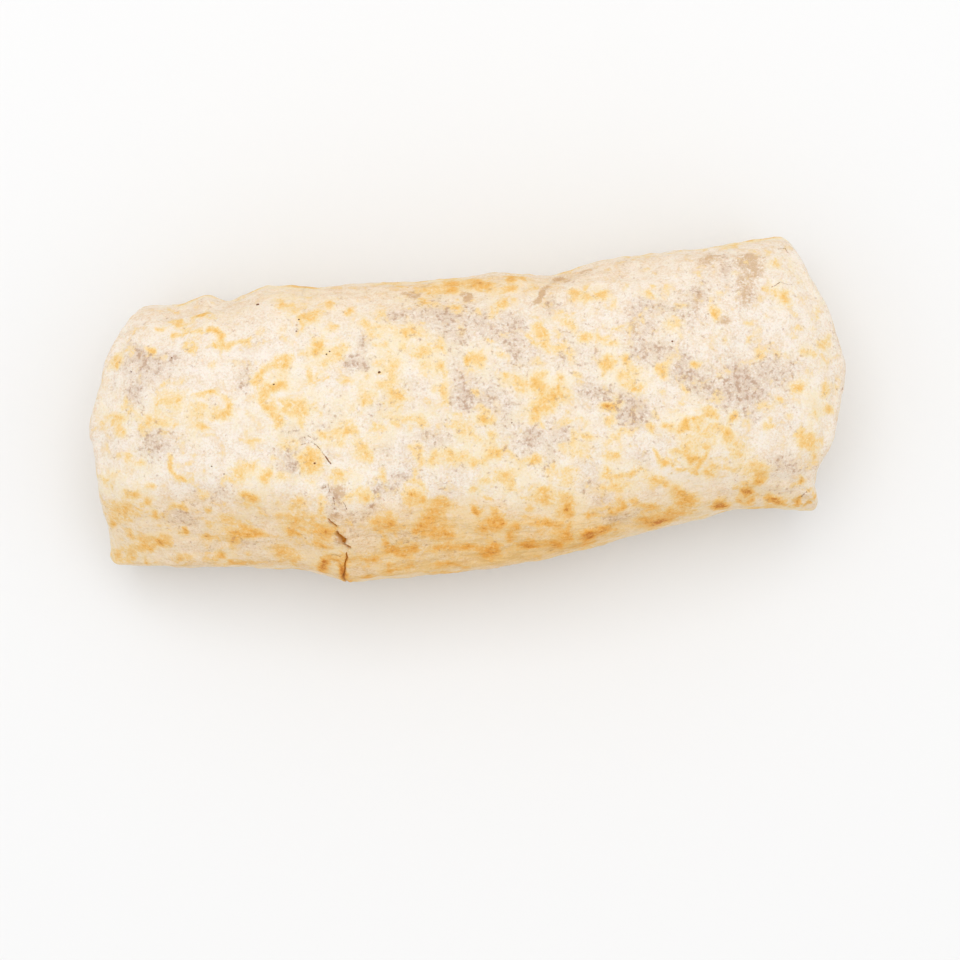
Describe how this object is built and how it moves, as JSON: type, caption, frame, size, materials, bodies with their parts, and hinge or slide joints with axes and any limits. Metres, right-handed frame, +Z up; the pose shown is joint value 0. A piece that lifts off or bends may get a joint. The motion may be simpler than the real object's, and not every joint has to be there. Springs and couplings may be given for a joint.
{
  "type": "burrito",
  "caption": "Whole closed burrito: a flour tortilla rolled round its filling, lying on its seam, with folded-in ends, griddle-toasted skin and a short split at the front.",
  "frame": {"origin": "middle of the plan box, on the surface that the burrito lies on", "axes": "+X along the roll, +Y to its back, +Z up"},
  "size_m": [0.2156, 0.0868, 0.0588],
  "materials": {
    "tortilla": null
  },
  "bodies": {
    "root": {"tortilla_roll": "tortilla"}
  },
  "joints": []
}
